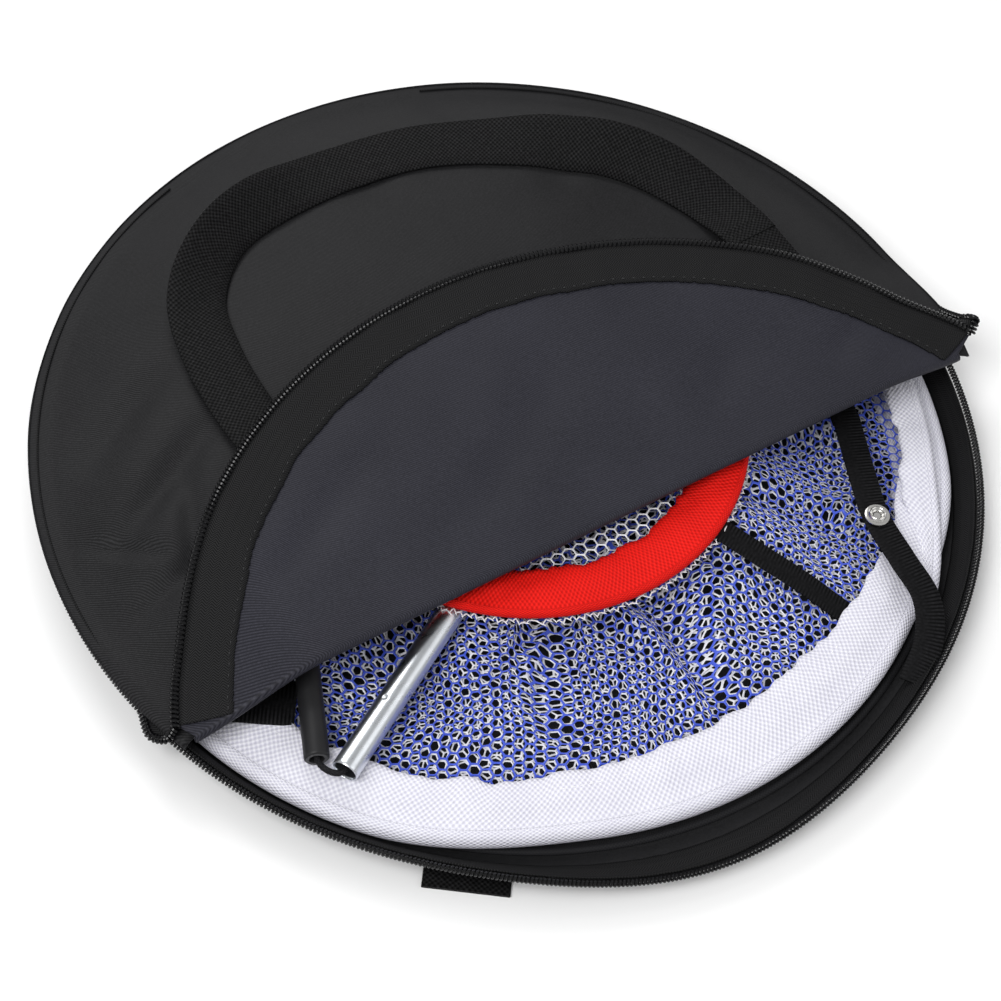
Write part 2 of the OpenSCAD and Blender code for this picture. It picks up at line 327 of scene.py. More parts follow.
def zip_coil(name, line, loops=(1.05, 0.9), filament=0.54, pitch=1.6):
    """A coil zip's teeth: a filament wound round a cord that lies along line."""
    steps, sides = 10, 5
    turns = int(line_length(line) / pitch)
    centre = np.array([tuple(p) for p in even_steps(line, 0.8)])
    wanted = np.linspace(0, len(centre) - 1, turns * steps + 1)
    index = np.arange(len(centre))
    core = np.stack([np.interp(wanted, index, centre[:, k]) for k in range(3)], 1)
    ahead = np.gradient(core, axis=0)
    ahead /= np.linalg.norm(ahead, axis=1)[:, None]
    side = np.cross(ahead, (0.0, 0.0, 1.0))
    side /= np.linalg.norm(side, axis=1)[:, None]
    up = np.cross(side, ahead)
    angle = 2 * np.pi * np.arange(len(core)) / steps
    wound = core + side * (loops[0] * np.cos(angle))[:, None] + up * (loops[1] * np.sin(angle))[:, None]
    along = np.gradient(wound, axis=0)
    along /= np.linalg.norm(along, axis=1)[:, None]
    out = wound - core
    out -= along * (out * along).sum(1)[:, None]
    out /= np.linalg.norm(out, axis=1)[:, None]
    across = np.cross(along, out)
    points = []
    for k in range(sides):
        turn = 2 * math.pi * k / sides
        points.append(wound + filament * (math.cos(turn) * out + math.sin(turn) * across))
    points = np.stack(points, 1).reshape(-1, 3)
    return make_object(name, points, tube_faces(len(core), sides))


def stitches(name, line, length, gap, radius, lift=0.15):
    """A row of thread stitches along line, as one piece of short rounded lengths."""
    sides = 5
    rings = ((0, 0.3, -0.2), (0.25, 1, lift), (0.75, 1, lift), (1, 0.3, -0.2))    # along, size and height
    points, faces = [], []
    path = even_steps(line, length + gap)
    for a, b in zip(path, path[1:]):
        ahead = (b - a).normalized()
        side = ahead.cross(UP).normalized()
        up = side.cross(ahead)
        faces.extend(tube_faces(len(rings), sides, first=len(points)))
        for reach, scale, rise in rings:
            centre = a + ahead * (length * reach) + up * rise
            for k in range(sides):
                turn = 2 * math.pi * k / sides
                points.append(centre + (side * math.cos(turn) + up * math.sin(turn)) * radius * scale)
    return make_object(name, points, faces)


# ---------------------------------------------------------------- materials

class Recipe:
    """A material's node tree, with short calls for the nodes that the recipes share."""

    def __init__(self, name, color, roughness, **sockets):
        self.material = bpy.data.materials.new(name)
        self.material.use_nodes = True
        self.tree = self.material.node_tree
        self.shader = self.tree.nodes["Principled BSDF"]
        self.shader.inputs["Base Color"].default_value = (*color, 1)
        self.shader.inputs["Roughness"].default_value = roughness
        for socket, value in sockets.items():
            self.shader.inputs[socket.replace("_", " ")].default_value = value
        self.material.diffuse_color = (*color, 1)

    def node(self, kind, **settings):
        made = self.tree.nodes.new(kind)
        for key, value in settings.items():
            setattr(made, key, value)
        return made

    def join(self, source, target):
        self.tree.links.new(source, target)

    def math(self, operation, a, b=0.0, c=0.0):
        made = self.node("ShaderNodeMath", operation=operation)
        for socket, value in zip(made.inputs, (a, b, c)):
            if isinstance(value, (int, float)):
                socket.default_value = value
            else:
                self.join(value, socket)
        return made.outputs[0]

    def weave_axes(self):
        """The cloth's two directions, in millimetres."""
        split = self.node("ShaderNodeSeparateXYZ")
        self.join(self.node("ShaderNodeUVMap", uv_map="Weave").outputs[0], split.inputs[0])
        return split.outputs[0], split.outputs[1]

    def wave(self, value, pitch):
        return self.math("SINE", self.math("MULTIPLY", value, 2 * math.pi / pitch))

    def noise(self, size, detail=3.0, stretch=(1, 1, 1)):
        """Noise in the object's own space, with features of about size millimetres."""
        place = self.node("ShaderNodeMapping")
        place.inputs["Scale"].default_value = [s / (size * MM) for s in stretch]
        self.join(self.node("ShaderNodeTexCoord").outputs["Object"], place.inputs[0])
        made = self.node("ShaderNodeTexNoise")
        made.inputs["Scale"].default_value = 1.0
        made.inputs["Detail"].default_value = detail
        self.join(place.outputs[0], made.inputs["Vector"])
        return made.outputs["Fac"]

    def blend(self, factor, dark, light):
        made = self.node("ShaderNodeMix", data_type="RGBA")
        self.join(factor, made.inputs["Factor"])
        made.inputs["A"].default_value = (*dark, 1)
        made.inputs["B"].default_value = (*light, 1)
        return made.outputs["Result"]

    def span(self, value, low, high):
        made = self.node("ShaderNodeMapRange")
        made.inputs["To Min"].default_value = low
        made.inputs["To Max"].default_value = high
        self.join(value, made.inputs["Value"])
        return made.outputs["Result"]

    def finish(self, color, roughness, height, distance, strength):
        """Joins up the colour, the roughness and a relief that is distance millimetres high."""
        self.join(color, self.shader.inputs["Base Color"])
        self.join(roughness, self.shader.inputs["Roughness"])
        made = self.node("ShaderNodeBump")
        made.inputs["Strength"].default_value = strength
        made.inputs["Distance"].default_value = distance * MM
        self.join(height, made.inputs["Height"])
        self.join(made.outputs[0], self.shader.inputs["Normal"])
        return self.material


def checks(recipe, pitch_u, pitch_v):
    """A plain weave: bumps that alternate like a chessboard, from 0 to 1."""
    u, v = recipe.weave_axes()
    product = recipe.math("MULTIPLY", recipe.wave(u, pitch_u), recipe.wave(v, pitch_v))
    return recipe.math("MULTIPLY_ADD", product, 0.5, 0.5)


def twill(recipe, pitch, slope=1.0):
    """Fine diagonal lines, from 0 to 1."""
    u, v = recipe.weave_axes()
    diagonal = recipe.math("MULTIPLY_ADD", v, slope, u)
    return recipe.math("MULTIPLY_ADD", recipe.wave(diagonal, pitch), 0.5, 0.5)


def nylon(name, dark, light, sheen, pitch=1.0, depth=0.05, rough=(0.42, 0.6)):
    r = Recipe(name, dark, 0.6, Sheen_Weight=sheen, Sheen_Roughness=0.3, Specular_IOR_Level=0.11)
    lines = twill(r, pitch, 0.8)
    cloud = r.noise(55, 4)
    weave = r.math("MULTIPLY", r.noise(0.8, 2), lines)
    tone = r.math("MULTIPLY_ADD", weave, 1.1, r.math("MULTIPLY", cloud, 0.35))
    height = r.math("ADD", lines, r.math("MULTIPLY", r.noise(9, 4), 2.5))
    return r.finish(r.blend(tone, dark, light), r.span(cloud, *rough), height, depth, 0.7)


def webbing(name, dark, light, pitch=(2.2, 2.0), depth=0.22):
    r = Recipe(name, dark, 0.55, Specular_IOR_Level=0.06)
    bumps = checks(r, *pitch)
    tone = r.math("MULTIPLY", bumps, r.noise(1.2, 2))
    return r.finish(r.blend(tone, dark, light), r.span(bumps, 0.68, 0.42), bumps, depth, 0.9)


def tape(name, dark, light):
    """Herringbone zip tape: diagonal ribs whose lean changes from stripe to stripe."""
    r = Recipe(name, dark, 0.62, Specular_IOR_Level=0.12)
    u, v = r.weave_axes()
    zigzag = r.math("PINGPONG", u, 2.0)
    ribs = r.math("MULTIPLY_ADD", r.wave(r.math("ADD", v, zigzag), 1.15), 0.5, 0.5)
    tone = r.math("MULTIPLY", ribs, 0.8)
    return r.finish(r.blend(tone, dark, light), r.span(ribs, 0.75, 0.5), ribs, 0.12, 0.8)


def oxford(name, shade, light, pitch, depth, sheen=0.02):
    r = Recipe(name, light, 0.6, Sheen_Weight=sheen, Specular_IOR_Level=0.12)
    bumps = checks(r, *pitch)
    tone = r.math("MULTIPLY_ADD", r.noise(16, 3), 0.3, r.math("MULTIPLY", bumps, 0.75))
    height = r.math("MULTIPLY_ADD", r.noise(5, 2), 0.6, bumps)
    return r.finish(r.blend(tone, shade, light), r.span(bumps, 0.7, 0.5), height, depth, 0.9)


def thread(name, dark, light):
    """Knitted net thread: a fine twist along the strands and a change of tone from place to place."""
    rough = 0.45
    r = Recipe(name, light, rough, Sheen_Weight=0.15, Specular_IOR_Level=0.5)
    fine = r.noise(0.5, 2)
    tone = r.math("MULTIPLY_ADD", r.noise(14, 2), 0.5, r.math("MULTIPLY", fine, 0.6))
    return r.finish(r.blend(tone, dark, light), r.span(fine, rough + 0.15, rough - 0.1), fine, 0.12, 0.7)


def plastic(name, dark, light, rough, grain=0.8):
    r = Recipe(name, dark, rough, Specular_IOR_Level=0.3)
    speck = r.noise(grain, 3)
    tone = r.math("MULTIPLY", r.noise(12, 3), 0.7)
    return r.finish(r.blend(tone, dark, light), r.span(speck, rough - 0.06, rough + 0.1), speck, 0.02, 0.5)


def metal(name, dark, light, rough, along=(1, 1, 1), depth=0.012):
    r = Recipe(name, light, rough, Metallic=1.0)
    brushed = r.noise(2.5, 5, along)
    color = r.blend(r.noise(18, 4), dark, light)
    return r.finish(color, r.span(brushed, rough - 0.07, rough + 0.12), brushed, depth, 0.6)


LOOKS = {
    "nylon": nylon("Black nylon", (0.001, 0.001, 0.0012), (0.029, 0.029, 0.031), 0.06),
    "nylon_lining": nylon("Lined nylon", (0.005, 0.005, 0.008), (0.044, 0.044, 0.057), 0.02, 1.1, 0.04,
                          (0.42, 0.55)),
    "webbing": webbing("Handle webbing", (0.0004, 0.0004, 0.0005), (0.032, 0.032, 0.033)),
    "strap": webbing("Ribbed strap", (0.001, 0.001, 0.0012), (0.024, 0.024, 0.026), (30.0, 1.5), 0.16),
    "zip_tape": tape("Zip tape", (0.001, 0.001, 0.0012), (0.021, 0.021, 0.022)),
    "zip_coil": plastic("Zip coil", (0.002, 0.002, 0.0025), (0.008, 0.008, 0.009), 0.14),
    "zip_metal": metal("Black enamel", (0.02, 0.02, 0.022), (0.05, 0.05, 0.055), 0.35),
    "white_oxford": oxford("White oxford", (0.50, 0.49, 0.60), (0.93, 0.93, 0.985), (2.5, 2.2), 0.4),
    "red_oxford": oxford("Red oxford", (0.42, 0.003, 0.002), (0.95, 0.014, 0.008), (1.9, 2.2), 0.4, 0.0),
    "blue_net": thread("Blue net", (0.018, 0.034, 0.34), (0.075, 0.15, 0.86)),
    "white_net": thread("White net", (0.70, 0.70, 0.73), (0.99, 0.99, 1.0)),
    "binding": oxford("Seam binding", (0.006, 0.006, 0.007), (0.02, 0.02, 0.022), (1.4, 1.4), 0.1),
    "spring_steel": metal("Spring steel", (0.18, 0.19, 0.21), (0.42, 0.43, 0.46), 0.35),
    "nickel": metal("Nickel", (0.60, 0.59, 0.57), (0.80, 0.79, 0.77), 0.2),
    "zinc_steel": metal("Bright steel", (0.60, 0.63, 0.67), (0.80, 0.83, 0.86), 0.27, (0.3, 1, 1), 0.004),
    "black_plastic": plastic("Pole plastic", (0.008, 0.008, 0.009), (0.02, 0.02, 0.022), 0.45),
    "cut_plastic": plastic("Cut plastic", (0.05, 0.05, 0.053), (0.12, 0.12, 0.125), 0.7, 0.4),
    "elastic": webbing("Elastic cord", (0.008, 0.008, 0.009), (0.03, 0.03, 0.033), (1.2, 1.6), 0.12),
    "seam_thread": thread("Seam thread", (0.003, 0.003, 0.004), (0.022, 0.022, 0.024)),
}
SLOT_OF = {"strap": "webbing", "seam_thread": "webbing", "cut_plastic": "black_plastic"}


def dress(piece, look, body=None, replaces=()):
    """Gives a piece its material, the body it rides on and the CAD nodes that it stands for."""
    piece.data.materials.clear()
    piece.data.materials.append(LOOKS[look])
    SLOT_OF.get(look, look)
    if body:
        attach(piece, body)
    if replaces:
        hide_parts(*replaces)
    return piece


def cloth(piece, look, body, replaces, flat, area=None):
    """Dresses a sheet of cloth. Its flat size, given in millimetres, is not used."""
    dress(piece, look, body, replaces)
    area = area * MM * MM if area else None
    return piece


# ---------------------------------------------------------------- the bag's base

PANEL_Z = 1.9
WALL_TOP = COIL_Z - COIL_R - 0.4


def rim_sag(turn, share=1.0):
    """How the open rim leans out and sags at the front."""
    near = share * bell(turn, -99, 20)
    return polar(7 * near, turn, -5.5 * near)


def wall_radius(z):
    return mix(BASE_R, BAG_R - 1.6, min(max((z - PANEL_Z) / (WALL_TOP - PANEL_Z), 0), 1))


def make_base():
    panel_share = 0.6    # of the sheet's rows; the wall takes the rest

    def place(u, v):
        turn = 360 * u
        if v < panel_share:
            spot = polar(mix(5, BASE_R - 3, v / panel_share), turn)
            return spot + UP * (PANEL_Z + 0.3 * (1 + ripple(spot.x, spot.y, 40, 2)))
        t = (v - panel_share) / 0.4
        z = mix(PANEL_Z, WALL_TOP, smooth(0, 0.35, t) * 0.25 + 0.75 * max(0, (t - 0.2) / 0.8))
        radius = mix(BASE_R - 3, wall_radius(z), smooth(0, 0.3, t))
        bow = 0.5 * ripple(turn * 1.2, z, 9, 5) * math.sin(math.pi * t)
        return polar(radius, turn, z) + rim_sag(turn, t) + polar(bow, turn)

    piece = sheet_grid("base_cloth", 180, 40, place, lambda u, v, p: (u * 1240, v * 260), closed=True)
    thicken(piece, 1.1)
    cloth(piece, "nylon", "bag_and_net", ["base_panel", "base_wall"], (410, 410),
          area=math.pi * BAG_R ** 2 * 1.06)

    ring = arc(BASE_R - 4.4, 0, 357, PANEL_Z + 1.8)
    binding = sweep("base_binding", ring, round_section(1.5, 8, 0.7), True)
    dress(binding, "binding", "bag_and_net", ["base_seam_binding"])


def make_base_zip():
    start, end = 90 + HINGE_HALF, 450 - HINGE_HALF

    def place(u, v):
        turn = mix(start, end, u)
        z = mix(6, COIL_Z - 0.4, v)
        radius = wall_radius(z) - 1.4 - 0.9 * math.sin(math.pi * v) + 0.25 * ripple(turn * 2, v * 6, 3, 4)
        return polar(radius, turn, z) + rim_sag(turn, mix(0.35, 1, v))

    length = math.radians(end - start) * BAG_R
    strip = sheet_grid("base_zip_strip", 320, 8, place, lambda u, v, p: (v * 14, u * length))
    thicken(strip, 0.7)
    cloth(strip, "zip_tape", "bag_and_net", ["base_zip_tape"], (11.5, length))
    chain = [spot + rim_sag(heading(spot.x, spot.y)) for spot in arc(CHAIN_R, start, end, COIL_Z, 0.5)]
    dress(zip_coil("base_coil", chain), "zip_coil", "bag_and_net", ["base_zip_coil"])
    row = [spot - polar(0.6, heading(spot.x, spot.y), 3.2) for spot in chain]
    dress(stitches("base_zip_seam", row, 2.4, 1.1, 0.24), "seam_thread", "bag_and_net")


def make_rear_hinge():
    reach = HINGE_HALF - 1

    def place(u, v):
        turn = 90 + mix(-reach, reach, u)
        return polar(BAG_R + 0.9 + 0.5 * math.sin(math.pi * v), turn, mix(12.6, 19.6, v))

    width = math.radians(2 * reach) * BAG_R
    piece = sheet_grid("rear_hinge_cloth", 60, 6, place, lambda u, v, p: (u * width, v * 8))
    thicken(piece, 0.8)
    cloth(piece, "nylon", "bag_and_net", ["rear_hinge_strip"], (10, width),
          area=7.2 * width)


# ---------------------------------------------------------------- lid and flap

# Soft creases in the lid: two ends, width and depth
LID_CREASES = (
    ((-180, 20), (-105, 60), 7, 3.4),
    ((-186, -10), (-120, 10), 6, 3.0),
    ((-172, 60), (-112, 95), 8, 2.6),
    ((-178, -42), (-125, -38), 6, 2.4),
    ((-160, -20), (-128, 48), 5, 2.0),
    ((-184, 35), (-150, 5), 4, 1.8),
    ((-30, 190), (20, 120), 10, 1.4),
    ((120, 140), (75, 90), 9, 1.3),
    ((60, 182), (66, 120), 8, 1.2),
)
# Soft creases in the flap's inner face: two ends, width and depth
FLAP_CREASES = (
    ((-150, -40), (-60, 10), 9, 0.9),
    ((-60, -50), (40, 20), 12, 0.7),
    ((60, -45), (110, -10), 10, 0.9),
    ((120, -50), (160, -30), 7, 1.2),
)


def creased(height, x, y, creases):
    """Lowers a height by the creases that pass the point."""
    for start, end, width, depth in creases:
        height -= depth * crease(x, y, start, end, width)
    return height


def dome(radius):
    return LID_EDGE + (LID_TOP - LID_EDGE) * (1 - (radius / BAG_R) ** 3)


def droop(x):
    """How far the fold and flap hang down towards their two tips."""
    return 15 * smooth(128, 190, -x) + 6 * smooth(140, 185, x)


def fold_x(u):
    return mix(-185, 182, u)


def lid_height(x, y):
    """Height of the lid's top face."""
    base = min(dome(math.hypot(x, y)), LID_TOP)
    front = FOLD.z - 1.7 - droop(x)
    height = mix(base, front, smooth(mix(40, 75, smooth(120, 170, abs(x))), 0, y - FOLD_Y))
    height += 0.9 * ripple(x, y, 75, 1) + 0.35 * ripple(x, y, 24, 6)
    height -= 3 * smooth(150, 192, math.hypot(x, y)) * smooth(-50, 20, y)
    return min(creased(height, x, y, LID_CREASES), LID_TOP)



# The skirt starts this far in from the bag's outline, bulges this far out, and takes the sheet's
# last rows, from this share of them on
SKIRT_IN = 7
SKIRT_OUT = 8.7
SKIRT_FROM = 0.84


def skirt_end(turn):
    """The lid's lower edge: on the closed chain, and rising to the flap's tips at the front."""
    tip = fold_x(1 if turn < 90 else 0)
    high = FOLD.z - droop(tip) - 4
    lift = smooth(2, -17, turn) if turn < 90 else smooth(190, 198, turn)
    return polar(CHAIN_R + 0.5 * lift, turn, mix(LID_COIL_Z + 1.0, high, lift))


def lid_point(u, v):
    turn = mix(199.2, -19.2, u)
    inner = polar(BAG_R - SKIRT_IN, turn)
    front = Vector((fold_x(u), FOLD_Y, 0))
    if v <= SKIRT_FROM:
        spot = front.lerp(inner, v / SKIRT_FROM)
        return Vector((spot.x, spot.y, lid_height(spot.x, spot.y)))
    t = (v - SKIRT_FROM) / (1 - SKIRT_FROM)
    top = lid_height(inner.x, inner.y)
    bulge = SKIRT_OUT * math.sin(0.62 * math.pi * t) + 2.4 * t * (1 - t) * ripple(turn, 0, 12, 3)
    low = skirt_end(turn).z
    return polar(BAG_R - SKIRT_IN + bulge, turn, mix(top, low, (1 - math.cos(math.pi * t)) / 2))


def make_lid():
    piece = sheet_grid("lid_cloth", 220, 84, lid_point, lambda u, v, p: (p[0], p[1] - 2 * p[2]))
    thicken(piece, 1.0, -1.0)
    cloth(piece, "nylon", "lid", ["rear_lid"], (400, 270),
          area=0.5 * math.pi * BAG_R ** 2 + 2 * 185 * 66 + 0.5 * math.pi * 2 * BAG_R * 10)


def make_lid_zip():
    spans = ((CLOSED_RIGHT, 90 - HINGE_HALF, "right"), (90 + HINGE_HALF, CLOSED_LEFT, "left"))
    for start, end, side in spans:
        length = math.radians(end - start) * BAG_R

        def place(u, v, start=start, end=end):
            return polar(CHAIN_R - 1.9 + 0.3 * math.sin(math.pi * v), mix(start, end, u),
                         mix(LID_COIL_Z - 1, LID_EDGE - 0.6, v))

        strip = sheet_grid(f"lid_zip_strip_{side}", 110, 4, place, lambda u, v, p: (v * 5, u * length))
        thicken(strip, 0.6)
        dress(strip, "zip_tape", "lid", ["lid_zip_tape"] if side == "right" else [])
        coil = zip_coil(f"lid_coil_{side}", arc(CHAIN_R, start, end, LID_COIL_Z - 0.4, 0.5))
        dress(coil, "zip_coil", "lid", ["lid_zip_coil"] if side == "right" else [])


FLAP_TURNS = (159.5, 20.5)


def flap_edge(turn):
    """A point on the flap's chain, in plan."""
    reach = 198 + 5 * abs(math.cos(math.radians(turn))) ** 3
    reach += 3 * smooth(31, 20.5, turn) + 2.5 * smooth(148, 159.5, turn)
    return FLAP_CENTRE + polar(reach, turn)


def flap_height(x, y):
    """Height of the flap's upward face, which is its lined inner face."""
    soft = smooth(0, 30, y - FOLD_Y)
    wave = 0.55 * ripple(x, y, 62, 11) + 0.3 * ripple(x * 0.7 + y * 0.7, y - x, 30, 12)
    return FLAP_TOP - droop(x) + soft * creased(wave, x, y, FLAP_CREASES)


def on_flap(spot, lift=0.0):
    """Puts a point of the plan on the flap's upward face, or a little above it."""
    return Vector((spot.x, spot.y, flap_height(spot.x, spot.y) + lift))


def flap_spot(turn, inset):
    """A point on the flap, a distance in from its chain, in plan."""
    edge = flap_edge(turn)
    return edge - (edge - FLAP_CENTRE).normalized() * inset


def make_flap():
    roll = 0.09

    def place(u, v):
        edge = flap_spot(mix(*FLAP_TURNS, u), 2)
        x = fold_x(u)
        if v < roll:
            a = mix(-0.5, 0.5, v / roll) * math.pi
            return Vector((x, FOLD_Y - 1.7 * math.cos(a), FOLD.z - droop(x) + 1.75 * math.sin(a)))
        return on_flap(Vector((x, FOLD_Y, 0)).lerp(edge, (v - roll) / (1 - roll)))

    piece = sheet_grid("flap_cloth", 200, 66, place, lambda u, v, p: (p[0] - 2 * p[2], p[1]))
    thicken(piece, 0.8)
    dress(piece, "nylon_lining", None, ["lid_flap"])
    blend_flap(piece)


def blend_flap(piece):
    """Bakes a flap piece's modifiers and placing into its mesh."""
    bake_modifiers(piece)
    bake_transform(piece)


def bake_modifiers(piece):
    """Turns a piece's modifiers into its mesh."""
    seen = piece.evaluated_get(bpy.context.evaluated_depsgraph_get())
    mesh = bpy.data.meshes.new_from_object(seen)
    piece.modifiers.clear()
    piece.data = mesh


def tape_edge(turn):
    """How far in from the chain the flap's tape reaches; its hand-sewn edge wanders."""
    return 22 + 1.3 * ripple(turn, 0, 7, 71) + 0.9 * ripple(turn, 0, 0.6, 72)


def make_flap_zip():
    def place(u, v):
        turn = mix(FLAP_TURNS[0] - 0.2, FLAP_TURNS[1] + 0.2, u)
        spot = flap_spot(turn, mix(tape_edge(turn), 1.6, v))
        return on_flap(spot, 0.9 + 0.35 * ripple(u * 90, v * 3, 2.5, 8))

    length = math.radians(FLAP_TURNS[0] - FLAP_TURNS[1]) * 198
    strip = sheet_grid("flap_zip_strip", 420, 9, place, lambda u, v, p: (v * 21, u * length))
    thicken(strip, 0.7)
    dress(strip, "zip_tape", None, ["flap_zip_tape"])
    blend_flap(strip)

    turns = [mix(*FLAP_TURNS, i / 460) for i in range(461)]
    line = [on_flap(flap_edge(turn), 0.7) for turn in turns]
    coil = zip_coil("flap_coil", line, (1.45, 1.25), 0.72, 1.95)
    dress(coil, "zip_coil", None, ["flap_zip_coil"])
    blend_flap(coil)

    make_zip_corner("left", line[0], LEFT_CORNER, (CLOSED_LEFT,))
    make_zip_corner("right", line[-1], RIGHT_CORNER, (-10, CLOSED_RIGHT))

    turns = [mix(*FLAP_TURNS, i / 200) for i in range(1, 200)]
    seam = [on_flap(flap_spot(turn, tape_edge(turn) - 2), 1.45) for turn in turns]
    row = stitches("flap_tape_seam", seam, 1.3, 3.1, 0.2)
    dress(row, "seam_thread")
    blend_flap(row)


# Where the coil turns over on its way from the flap down to the lid
LEFT_CORNER = ((-193, -59.5, 25.5), (-196.2, -56, 22.5), (-197.6, -51.5, 21.5))
RIGHT_CORNER = ((196.8, -57.2, 43.2), (198.6, -54.2, 41), (198.2, -51, 38.5), (196.8, -48, 36))


def make_zip_corner(side, first, middle, skirt_turns):
    """The short coil that joins the flap's chain to the lid's, with its tape fanned out behind it."""
    back = [skirt_end(t) + polar(0.8, t, -1.4) for t in skirt_turns]
    line = rounded_line([first, *middle, *back])
    coil = zip_coil(f"corner_coil_{side}", line, (1.3, 1.15), 0.66, 1.7)
    dress(coil, "zip_coil", "lid")
    pivot = (first + back[0]) / 2 + polar(-13, skirt_turns[0], 1)
    last = len(line) - 1
    fan = sheet_grid(f"corner_tape_{side}", last, 5,
                     lambda u, v: line[round(u * last)].lerp(pivot, 0.04 + 0.9 * v) - UP * 0.3)
    thicken(fan, 0.7)
    # Flat size given as a rectangle of the fan's own area: triangles 14 mm high on the coil
    depth = 13
    cloth(fan, "zip_tape", "lid", (), (line_length(line) * 7 / depth, depth))


# ---------------------------------------------------------------- handles

HANDLE_WIDTH = 25
HANDLE_THICK = 1.6
UNDER_Z = 0.95    # height of the webbing under the base

# The carry handle's route on the lid, in plan, from its left end to its right
HANDLE_ROUTE = ((-99, 30), (-100, 52), (-98, 82), (-90, 112), (-68, 134), (-38, 146), (0, 150), (38, 145),
                (70, 130), (98, 109), (120, 86), (133, 63), (138, 46), (139, 28))
CORNERS = ((0.32, 0.09, 0.75), (0.80, 0.10, 0.85))    # place along the route, width and tilt


def handle_tilt(t):
    return sum(tilt * math.exp(-((t - at) / width) ** 2) for at, width, tilt in CORNERS)


def make_carry_handle():
    plan = even_steps(rounded_line([(x, y, 0) for x, y in HANDLE_ROUTE]), 3)
    path = []
    for i, spot in enumerate(plan):
        t = i / (len(plan) - 1)
        ends = 1 - smooth(0, 0.07, t) * smooth(0, 0.07, 1 - t)
        over = max(lid_height(spot.x + dx, spot.y + dy) for dx in (-11, 0, 11) for dy in (-11, 0, 11))
        height = mix(over + 1.3, 42.4, ends) + 11 * math.sin(math.atan(handle_tilt(t)))
        path.append(Vector((spot.x, spot.y, height)))
    middle = Vector((20, 20, 0))

    def facing(t):
        spot = path[min(int(t * len(path)), len(path) - 1)]
        outward = Vector((spot.x, spot.y, 0)) - middle
        return (UP - outward.normalized() * handle_tilt(t)).normalized()

    piece = sweep("carry_strap", path, webbing_section(HANDLE_WIDTH, HANDLE_THICK), facing=facing)
    cloth(piece, "webbing", None, ["carry_handle"], (HANDLE_WIDTH, line_length(path)))
    hinge = joint_point("handle_swing")
    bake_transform(piece)


def make_handle_patches():
    front = node_box("handle_end_patches")[0].y
    for side, (x, _) in (("left", HANDLE_ROUTE[0]), ("right", HANDLE_ROUTE[-1])):
        line = even_steps([Vector((x, y, 42.3)) for y in (front, 36)], 2)
        patch = sweep(f"handle_patch_{side}", line, webbing_section(HANDLE_WIDTH, 1.4))
        dress(patch, "webbing", "flap", ["handle_end_patches"] if side == "left" else [])


def make_lower_handle():
    low, high = node_box("lower_handle")
    half = (high.x - low.x) / 2 - HANDLE_WIDTH / 2
    reach = high.y - low.y - HANDLE_WIDTH / 2
    plan = []
    for i in range(91):
        turn = math.pi * (1 - i / 90)
        c, s = math.cos(turn), math.sin(turn)
        plan.append(Vector((math.copysign(abs(c) ** 0.62, c) * half, low.y + reach * abs(s) ** 0.8, UNDER_Z)))
    path = even_steps(plan, 3)
    piece = sweep("lower_strap", path, webbing_section(HANDLE_WIDTH, 1.5))
    cloth(piece, "webbing", "under_handle", ["lower_handle"], (HANDLE_WIDTH, line_length(path)))

    # The left tab stands out past the base; the right one ends under it
    tabs = (("left", -127, BAG_R + 1.5, 34), ("right", -54, BASE_R - 1, HANDLE_WIDTH))
    for side, turn, reach, width in tabs:
        line = even_steps([polar(reach, turn, UNDER_Z), polar(BASE_R - 22, turn, UNDER_Z)], 2)
        tab = sweep(f"strap_tab_{side}", line, webbing_section(width, 1.5))
        dress(tab, "webbing", "bag_and_net", ["lower_handle_tabs"] if side == "left" else [])


# ---------------------------------------------------------------- the coiled net

def hem_inner(turn):
    """Radius of the white hem's inner edge, which is narrowest at the front."""
    away = abs((turn + 85 + 180) % 360 - 180)
    return RIM_R - 31 + 12.5 * smooth(10, 58, away)


def no_shift(turn):
    return 0, 0, 0, 1


def lower_shift(turn):
    """The lowest coil's wire sits further in at its front right, and higher at its front left."""
    turn = (turn + 180) % 360 - 180
    right = smooth(-140, -112, turn) * smooth(-32, -58, turn)
    left = bell(turn, -146, 20)
    return 2.6 * left - 6.5 * right, 0, 3.6 * left, 1


def upper_shift(turn):
    """The upper coil's end narrows, and dives outside the lowest coil."""
    dive = smooth(-32, -54, turn)
    return 8 * dive, 8 * dive, -9 * dive, 1 - 0.75 * dive


def make_wire(name, ring_r, z, radius, nodes, span, shift):
    """The sprung wire inside a hem, which follows the hem's own shift."""
    path = []
    for i in range(241):
        turn = mix(*span, i / 240)
        out, _, up, _ = shift(turn)
        path.append(polar(ring_r + out, turn, z + up))
    closed = span[1] - span[0] == 360
    wire = sweep(name, path[:-1] if closed else path, round_section(radius, 10), closed)
    dress(wire, "spring_steel", "bag_and_net", nodes)


